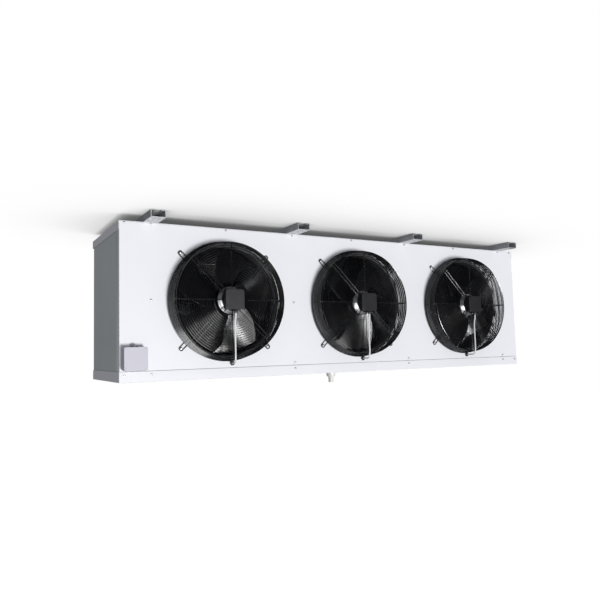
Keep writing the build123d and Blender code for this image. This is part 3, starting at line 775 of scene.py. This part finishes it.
class COOLER_OT_impellers(bpy.types.Operator):
    """The impellers: curved sickle blades welded on the motor's turning can"""
    bl_idname = "cooler.impellers"
    bl_label = "Impellers"

    first_turns = (0, 23, 49)
    blade_count = 5

    def execute(self, context):
        for index, fan in enumerate(FANS):
            number = index + 1
            bm = bmesh.new()
            for blade in range(self.blade_count):
                turn = math.radians(self.first_turns[index] + blade * 360 / self.blade_count)
                self.blade(bm, fan, turn)
            wheel = piece(f"impeller_blades_{number}", bm, blade_coat(), FAN_BODIES[index], (), 60)
            wall = wheel.modifiers.new("sheet", "SOLIDIFY")
            wall.thickness = 0.002
            wall.offset = 0.0
            edge = wheel.modifiers.new("edge", "BEVEL")
            edge.width = 0.0005
            edge.segments = 2
            edge.limit_method = "ANGLE"
            bm = bmesh.new()
            self.can(bm, fan, index)
            piece(f"rotor_can_{number}", bm, blade_coat(), FAN_BODIES[index], [f"impeller_{number}"])
        return {"FINISHED"}

    def edge_turn(self, root, middle, tip, share):
        return (root * (1 - share) * (1 - 2 * share) + middle * 4 * share * (1 - share)
                + tip * share * (2 * share - 1))

    def blade(self, bm, fan, turn):
        """A grid laid on the tilted, cambered plate between the trailing and the leading edge."""
        made = bmesh.ops.create_grid(bm, x_segments=28, y_segments=18, size=0.5)
        root = 0.0595
        tip = sizes().impeller_radius
        stagger = math.radians(20)
        camber = 0.017
        lead_reach = 0.82 * tip
        trail_reach = 0.256 * tip
        spin = Matrix.Rotation(turn, 3, "Y")
        for vert in made["verts"]:
            chord = vert.co.x + 0.5
            share = vert.co.y + 0.5
            lead = self.edge_turn(45, 33, 50, share)
            trail = self.edge_turn(-45, -21, -3, share)
            angle = math.radians(trail + (lead - trail) * chord)
            radius = root + (tip - root) * share
            x = radius * math.sin(angle)
            z = radius * math.cos(angle)
            place = (x / math.cos(stagger) + trail_reach) / (lead_reach + trail_reach)
            bulge = camber * 3.6 * place * (1 - place)
            y = 0.007 - camber / 2 + x * math.tan(stagger) + bulge / math.cos(stagger)
            vert.co = fan + spin @ Vector((x, y, z))

    def can(self, bm, fan, index):
        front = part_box(f"impeller_{index + 1}")[0].y - FACE
        profile = [(0.0, front), (0.054, front), (0.0585, front + 0.0008), (0.0605, front + 0.003),
                   (0.061, front + 0.006), (0.061, front + 0.030), (0.0598, front + 0.0315),
                   (0.0598, front + 0.0345), (0.061, front + 0.036), (0.061, front + 0.078),
                   (0.0595, front + 0.084), (0.055, front + 0.088), (0.030, front + 0.088),
                   (0.028, front + 0.086), (0.0, front + 0.086)]
        add_turned(bm, profile, fan)
        mend(bm)


class COOLER_OT_motors(bpy.types.Operator):
    """The fixed motor bells and the terminal boxes in front of them"""
    bl_idname = "cooler.motors"
    bl_label = "Motors"

    def execute(self, context):
        bell_low, bell_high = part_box("motor_stators")
        front = bell_low.y - FACE
        back = bell_high.y - FACE
        bm = bmesh.new()
        for fan in FANS:
            profile = [(0.0, front), (0.0485, front), (0.0505, front + 0.0012), (0.0585, back - 0.011),
                       (0.0608, back - 0.0085), (0.0618, back - 0.008), (0.062, back - 0.0006),
                       (0.0612, back), (0.0, back)]
            add_turned(bm, profile, fan)
        mend(bm)
        for face in bm.faces:
            middle = face.calc_center_median()
            nearest = min(FANS, key=lambda fan: abs(fan.x - middle.x))
            if math.hypot(middle.x - nearest.x, middle.z - nearest.z) > 0.0512:
                face.material_index = 1
        piece("motor_bells", bm, motor_coat(), CASING, ["motor_stators"],
              second=cast_aluminium())
        for index, fan in enumerate(FANS):
            self.terminal_box(fan, index + 1)
        return {"FINISHED"}

    def terminal_box(self, fan, number):
        low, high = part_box(f"terminal_box_{number}")
        half = (high.x - low.x) / 2
        front = low.y
        back = high.y
        bm = bmesh.new()
        foot = fan.z - half
        seam = front + 0.011
        add_rounded_block(bm, (low.x + 0.001, seam, foot + 0.001),
                          (high.x - 0.001, back, fan.z + half - 0.001), 0.013)
        add_rounded_block(bm, (low.x, front, foot), (high.x, seam - 0.0008, fan.z + half), 0.014, 0.0025)
        for across in (-1, 1):
            for rise in (-1, 1):
                reach = half - 0.013
                bmesh.ops.create_cone(bm, cap_ends=True, segments=20, radius1=0.0036, radius2=0.0030, depth=0.0012,
                                      matrix=Matrix.Translation((fan.x + across * reach, front - 0.0003,
                                                                 fan.z + rise * reach)) @ FACING)
        gland_x = (low.x + high.x) / 2 + 0.008
        level = (front + back) / 2
        bmesh.ops.create_cone(bm, cap_ends=True, segments=24, radius1=0.0065, radius2=0.0082, depth=0.007,
                              matrix=Matrix.Translation((gland_x, level, low.z + 0.0035)))
        made = bmesh.ops.create_cone(bm, cap_ends=True, segments=6, radius1=0.0088, radius2=0.0088, depth=0.009,
                                     matrix=Matrix.Translation((gland_x, level, low.z + 0.0115)))
        edges = list({edge for vert in made["verts"] for edge in vert.link_edges})
        bmesh.ops.bevel(bm, geom=edges, offset=0.0006, segments=2, profile=0.5, affect="EDGES", material=-1)
        bmesh.ops.recalc_face_normals(bm, faces=bm.faces)
        even(piece(f"terminal_cover_{number}", bm, terminal_plastic(), CASING, [f"terminal_box_{number}"]))


class COOLER_OT_leads(bpy.types.Operator):
    """The motor leads along their routes down to their grommets"""
    bl_idname = "cooler.leads"
    bl_label = "Motor Leads"

    def execute(self, context):
        for index, fan in enumerate(FANS):
            number = index + 1
            low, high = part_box(f"lead_grommet_{number}")
            foot = (low + high) / 2 - fan
            route = [(0.008, -0.102, -0.062), (0.008, -0.102, -0.079), (0.006, -0.09475, -0.106),
                     (0.0065, -0.0955, -0.200), (0.007, -0.09475, -0.286), (foot.x, -0.025, foot.z),
                     (foot.x, 0.0, foot.z)]
            curve = bpy.data.curves.new(f"lead_line_{number}", "CURVE")
            curve.dimensions = "3D"
            spline = curve.splines.new("NURBS")
            spline.points.add(len(route) - 1)
            for point, place in zip(spline.points, route):
                point.co = (*(fan + Vector(place)), 1.0)
            spline.order_u = 3
            spline.use_endpoint_u = True
            spline.resolution_u = 16
            curve.bevel_depth = 0.0038
            curve.bevel_resolution = 4
            curve.use_fill_caps = True
            holder = bpy.data.objects.new(f"lead_line_{number}", curve)
            bpy.context.scene.collection.objects.link(holder)
            mesh = bpy.data.meshes.new_from_object(holder.evaluated_get(bpy.context.evaluated_depsgraph_get()))
            bpy.data.objects.remove(holder)
            bm = bmesh.new()
            bm.from_mesh(mesh)
            mend(bm)
            piece(f"motor_lead_{number}", bm, lead_sheath(), CASING, [f"fan_lead_{number}"], 60)
        return {"FINISHED"}


# Electrical box on the panel

class COOLER_OT_junction_box(bpy.types.Operator):
    """The moulded junction box with its lid, screws and cable gland"""
    bl_idname = "cooler.junction_box"
    bl_label = "Junction Box"

    def execute(self, context):
        low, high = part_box("junction_box")
        lid_low, lid_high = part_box("junction_box_lid")
        bm = bmesh.new()
        add_rounded_block(bm, (low.x + 0.0012, low.y, low.z + 0.0012), (high.x - 0.0012, high.y, high.z - 0.0012),
                           0.007, 0.0004)
        even(piece("junction_case", bm, box_plastic(), CASING, ["junction_box"]))
        bm = bmesh.new()
        add_rounded_block(bm, lid_low, (lid_high.x, lid_high.y - 0.0006, lid_high.z), 0.008, 0.002)
        even(piece("junction_cover", bm, box_plastic(), CASING, ["junction_box_lid"]))
        bm = bmesh.new()
        for screw_low, screw_high in islands("lid_screws"):
            middle = (screw_low + screw_high) / 2
            bmesh.ops.create_cone(bm, cap_ends=True, segments=24, radius1=0.0036, radius2=0.0030,
                                  depth=screw_high.y - screw_low.y,
                                  matrix=Matrix.Translation(middle) @ Matrix.Rotation(math.radians(90), 4, "X"))
        piece("junction_screws", bm, box_plastic(), CASING, ["lid_screws"])
        gland_low, gland_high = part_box("box_gland")
        middle = (gland_low + gland_high) / 2
        bm = bmesh.new()
        made = bmesh.ops.create_cone(bm, cap_ends=True, segments=6, radius1=0.0165, radius2=0.0165, depth=0.005,
                                     matrix=Matrix.Translation((middle.x, middle.y, gland_low.z + 0.0025)))
        made["verts"] += bmesh.ops.create_cone(
            bm, cap_ends=True, segments=32, radius1=0.0145, radius2=0.0115, depth=0.005,
            matrix=Matrix.Translation((middle.x, middle.y, gland_low.z + 0.0075)))["verts"]
        edges = list({edge for vert in made["verts"] for edge in vert.link_edges})
        bmesh.ops.bevel(bm, geom=edges, offset=0.0005, segments=2, profile=0.5, affect="EDGES", material=-1)
        piece("junction_gland", bm, gland_plastic(), CASING, ["box_gland"])
        return {"FINISHED"}


# Coil

class COOLER_OT_coil(bpy.types.Operator):
    """The fin pack, its tubes, bends, headers and defrost heaters"""
    bl_idname = "cooler.coil"
    bl_label = "Coil"

    def execute(self, context):
        low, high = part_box("coil_fins")
        pitch = sizes().fin_pitch
        count = int((high.x - low.x) / pitch)
        bm = bmesh.new()
        for index in range(count):
            across = low.x + (index + 0.5) * (high.x - low.x) / count
            add_box(bm, (across - 0.00015, low.y, low.z), (across + 0.00015, high.y, high.z))
        piece("fin_pack", bm, fin_aluminium(), CASING, ["coil_fins"])
        bm = bmesh.new()
        for tube_low, tube_high in islands("coil_tubes"):
            middle = (tube_low + tube_high) / 2
            self.pipe(bm, (tube_low.x, middle.y, middle.z), (tube_high.x, middle.y, middle.z), 0.008)
        piece("round_tubes", bm, copper(), CASING, ["coil_tubes"])
        bm = bmesh.new()
        for bend_low, bend_high in islands("return_bends"):
            self.bend(bm, bend_low, bend_high)
        piece("round_bends", bm, copper(), CASING, ["return_bends"])
        bm = bmesh.new()
        for rod_low, rod_high in islands("defrost_heaters"):
            middle = (rod_low + rod_high) / 2
            self.pipe(bm, (rod_low.x, middle.y, middle.z), (rod_high.x, middle.y, middle.z), 0.00425)
        piece("heater_rods", bm, heater_sheath(), CASING, ["defrost_heaters"])
        for name in ("suction_header", "liquid_header"):
            node = frame["nodes"][name]
            node.data.materials.clear()
            node.data.materials.append(copper())
        return {"FINISHED"}

    def pipe(self, bm, start, end, radius):
        start = Vector(start)
        end = Vector(end)
        run = end - start
        turn = run.to_track_quat("Z", "Y").to_matrix().to_4x4()
        bmesh.ops.create_cone(bm, cap_ends=True, segments=20, radius1=radius, radius2=radius, depth=run.length,
                              matrix=Matrix.Translation((start + end) / 2) @ turn)

    def bend(self, bm, low, high):
        """A U bend in the upright plane, open towards the coil."""
        radius = 0.008
        on_left = low.x < 0
        mouth, far = (high.x, low.x) if on_left else (low.x, high.x)
        inward = radius if on_left else -radius
        middle = (low.y + high.y) / 2
        line = [(mouth, middle, low.z + radius), (far + inward, middle, low.z + radius),
                (far + inward, middle, high.z - radius), (mouth, middle, high.z - radius)]
        add_wire(bm, rounded(line, 0.026, 8), 2 * radius, sides=16)


# Studio

class COOLER_OT_studio(bpy.types.Operator):
    """The floor, the ceiling over the unit, the lights and the camera"""
    bl_idname = "cooler.studio"
    bl_label = "Studio"

    shiny = ("guard_basket", "impeller_blades", "rotor_can", "motor_bells", "terminal_cover", "motor_lead",
             "collar_ring", "guard_screw_heads")
    glints = ((-1.40, -2.86, -1.80), (-1.02, -3.00, -1.02), (2.13, -2.61, -1.71))

    def execute(self, context):
        self.world()
        self.ceiling()
        self.floor()
        self.sun("key_sun", (0.13, -0.94, -0.25), 2.48, 0.28)
        for name, place, power in (("left_card", (-3.4, -1.3, -1.6), 60), ("low_card", (-2.2, -2.2, -3.0), 130)):
            self.shine(self.area(name, place, (0.0, -0.3, -0.4), 2.4, 2.4, power), self.shiny)
        for number, place in enumerate(self.glints, 1):
            target = FANS[number - 1] + Vector((0, 0, -0.12))
            glint = self.area(f"blade_glint_{number}", place, target, 0.24, 0.24, 9)
            self.shine(glint, (f"impeller_blades_{number}", f"motor_lead_{number}"))
        self.camera()
        scene = bpy.context.scene
        scene.view_settings.view_transform = "Standard"
        scene.view_settings.look = "None"
        return {"FINISHED"}

    def shine(self, lamp, names):
        """Lets a lamp show only as a reflection, and only in the pieces whose names start as given."""
        lamp.visible_diffuse = False
        pieces = bpy.data.collections.new(lamp.name + "_pieces")
        for part in bpy.context.scene.objects:
            if part.name.startswith(names):
                pieces.objects.link(part)
        lamp.light_linking.receiver_collection = pieces

    def world(self):
        world = bpy.data.worlds.new("studio")
        bpy.context.scene.world = world
        world.use_nodes = True
        nodes = world.node_tree.nodes
        links = world.node_tree.links
        seen = nodes.new("ShaderNodeBackground")
        seen.inputs["Color"].default_value = (1.0, 1.0, 1.0, 1.0)
        soft = nodes["Background"]
        soft.inputs["Color"].default_value = (0.94, 0.96, 1.0, 1.0)
        soft.inputs["Strength"].default_value = 0.34
        dark = nodes.new("ShaderNodeBackground")
        dark.inputs["Color"].default_value = (0.9, 0.95, 1.0, 1.0)
        dark.inputs["Strength"].default_value = 0.035
        path = nodes.new("ShaderNodeLightPath")
        mirrored = nodes.new("ShaderNodeMixShader")
        mix = nodes.new("ShaderNodeMixShader")
        links.new(path.outputs["Is Glossy Ray"], mirrored.inputs["Fac"])
        links.new(soft.outputs["Background"], mirrored.inputs[1])
        links.new(dark.outputs["Background"], mirrored.inputs[2])
        links.new(path.outputs["Is Camera Ray"], mix.inputs["Fac"])
        links.new(mirrored.outputs["Shader"], mix.inputs[1])
        links.new(seen.outputs["Background"], mix.inputs[2])
        links.new(mix.outputs["Shader"], nodes["World Output"].inputs["Surface"])

    def sheet(self, name, z, size, down):
        bm = bmesh.new()
        bmesh.ops.create_grid(bm, x_segments=1, y_segments=1, size=size / 2,
                              matrix=Matrix.Translation((0, 0, z)))
        if down:
            bmesh.ops.reverse_faces(bm, faces=bm.faces)
        mesh = bpy.data.meshes.new(name)
        bm.to_mesh(mesh)
        bm.free()
        stage = bpy.data.objects.new(name, mesh)
        bpy.context.scene.collection.objects.link(stage)
        stage.visible_diffuse = False
        stage.visible_glossy = False
        stage.visible_shadow = False
        return stage

    def ceiling(self):
        """A glowing white ceiling, seen from below only, with the unit's shadow painted into its glow where the unit
        stands close to it.
        """
        stage = self.sheet("studio_ceiling", TOP_HIGH.z + 0.034, 14.0, True)
        material = bpy.data.materials.new("ceiling_glow_painted_shadow")
        material.use_nodes = True
        nodes = material.node_tree.nodes
        links = material.node_tree.links
        nodes.remove(nodes["Principled BSDF"])
        occlusion_shadow = nodes.new("ShaderNodeAmbientOcclusion")
        occlusion_shadow.samples = 16
        occlusion_shadow.inputs["Distance"].default_value = 0.9
        # Painted shadow: the ramp dims the ceiling's glow where ambient occlusion is low, dark next to the unit and
        # white in the open.
        shades = nodes.new("ShaderNodeValToRGB")
        shades.color_ramp.elements[0].position = 0.0
        shades.color_ramp.elements[1].position = 0.90
        for position in (0.12, 0.30, 0.55, 0.78):
            shades.color_ramp.elements.new(position)
        for stop, shade in zip(shades.color_ramp.elements, (0.08, 0.20, 0.44, 0.76, 0.95, 1.0)):
            stop.color = (shade, shade, shade, 1.0)
        glow = nodes.new("ShaderNodeEmission")
        clear = nodes.new("ShaderNodeBsdfTransparent")
        side = nodes.new("ShaderNodeNewGeometry")
        mix = nodes.new("ShaderNodeMixShader")
        links.new(occlusion_shadow.outputs["AO"], shades.inputs["Fac"])
        links.new(shades.outputs["Color"], glow.inputs["Color"])
        links.new(side.outputs["Backfacing"], mix.inputs["Fac"])
        links.new(glow.outputs["Emission"], mix.inputs[1])
        links.new(clear.outputs["BSDF"], mix.inputs[2])
        links.new(mix.outputs["Shader"], nodes["Material Output"].inputs["Surface"])
        stage.data.materials.append(material)

    def floor(self):
        stage = self.sheet("studio_floor", CAD_BOX[0][2] - 1.25, 30.0, False)
        material = bpy.data.materials.new("floor_pale")
        material.use_nodes = True
        shader = material.node_tree.nodes["Principled BSDF"]
        shader.inputs["Base Color"].default_value = (0.85, 0.85, 0.86, 1.0)
        shader.inputs["Roughness"].default_value = 0.8
        shader.inputs["Emission Color"].default_value = (1.0, 1.0, 1.0, 1.0)
        shader.inputs["Emission Strength"].default_value = 1.0
        stage.data.materials.append(material)

    def sun(self, name, towards, strength, spread):
        """A soft sun that shines from the given direction."""
        data = bpy.data.lights.new(name, "SUN")
        data.energy = strength
        data.angle = spread
        lamp = bpy.data.objects.new(name, data)
        lamp.matrix_world = Vector(towards).to_track_quat("Z", "Y").to_matrix().to_4x4()
        bpy.context.scene.collection.objects.link(lamp)
        return lamp

    def area(self, name, place, target, width, height, power):
        data = bpy.data.lights.new(name, "AREA")
        data.shape = "RECTANGLE"
        data.size = width
        data.size_y = height
        data.energy = power
        lamp = bpy.data.objects.new(name, data)
        lamp.visible_camera = False
        aim = Vector(target) - Vector(place)
        lamp.matrix_world = Matrix.Translation(place) @ aim.to_track_quat("-Z", "Y").to_matrix().to_4x4()
        bpy.context.scene.collection.objects.link(lamp)
        return lamp

    def camera(self):
        """The photograph's viewpoint, from the solved yaw, pitch and roll."""
        yaw, pitch, roll = 0.5199, 0.0805, -0.0256
        view = Vector((math.sin(yaw) * math.cos(pitch), math.cos(yaw) * math.cos(pitch), math.sin(pitch)))
        level = Vector((math.cos(yaw), -math.sin(yaw), 0.0))
        above = level.cross(view)
        right = level * math.cos(roll) + above * math.sin(roll)
        up = above * math.cos(roll) - level * math.sin(roll)
        data = bpy.data.cameras.new("camera")
        data.sensor_width = 36.0
        data.lens = 36.388
        camera = bpy.data.objects.new("camera", data)
        place = Matrix((right, up, -view)).transposed().to_4x4()
        camera.matrix_world = Matrix.Translation((-1.8343, -2.8979, -0.5775)) @ place
        bpy.context.scene.collection.objects.link(camera)
        bpy.context.scene.camera = camera


class COOLER_PT_panel(bpy.types.Panel):
    bl_idname = "COOLER_PT_panel"
    bl_label = "Unit Cooler"
    bl_space_type = "VIEW_3D"
    bl_region_type = "UI"
    bl_category = "Unit Cooler"

    def draw(self, context):
        layout = self.layout
        for group in (context.scene.cooler_sizes, context.scene.cooler_colours):
            box = layout.box()
            for name in group.bl_rna.properties.keys():
                if name not in ("rna_type", "name"):
                    box.prop(group, name)
        for operator in OPERATORS:
            layout.operator(operator.bl_idname)


OPERATORS = (
    COOLER_OT_sheets,
    COOLER_OT_front_panel,
    COOLER_OT_collars,
    COOLER_OT_drip_tray,
    COOLER_OT_channels,
    COOLER_OT_screws,
    COOLER_OT_drain,
    COOLER_OT_guards,
    COOLER_OT_impellers,
    COOLER_OT_motors,
    COOLER_OT_leads,
    COOLER_OT_junction_box,
    COOLER_OT_coil,
    COOLER_OT_studio,
)
CLASSES = (CoolerSizes, CoolerColours, *OPERATORS, COOLER_PT_panel)


def register():
    for item in CLASSES:
        bpy.utils.register_class(item)
    bpy.types.Scene.cooler_sizes = bpy.props.PointerProperty(type=CoolerSizes)
    bpy.types.Scene.cooler_colours = bpy.props.PointerProperty(type=CoolerColours)


def unregister():
    del bpy.types.Scene.cooler_colours
    del bpy.types.Scene.cooler_sizes
    for item in reversed(CLASSES):
        bpy.utils.unregister_class(item)


def main():
    register()
    for operator in OPERATORS:
        group, name = operator.bl_idname.split(".")
        result = getattr(getattr(bpy.ops, group), name)()
        if result != {"FINISHED"}:
            raise RuntimeError(operator.bl_idname + " did not finish")


if __name__ == "__main__":
    main()
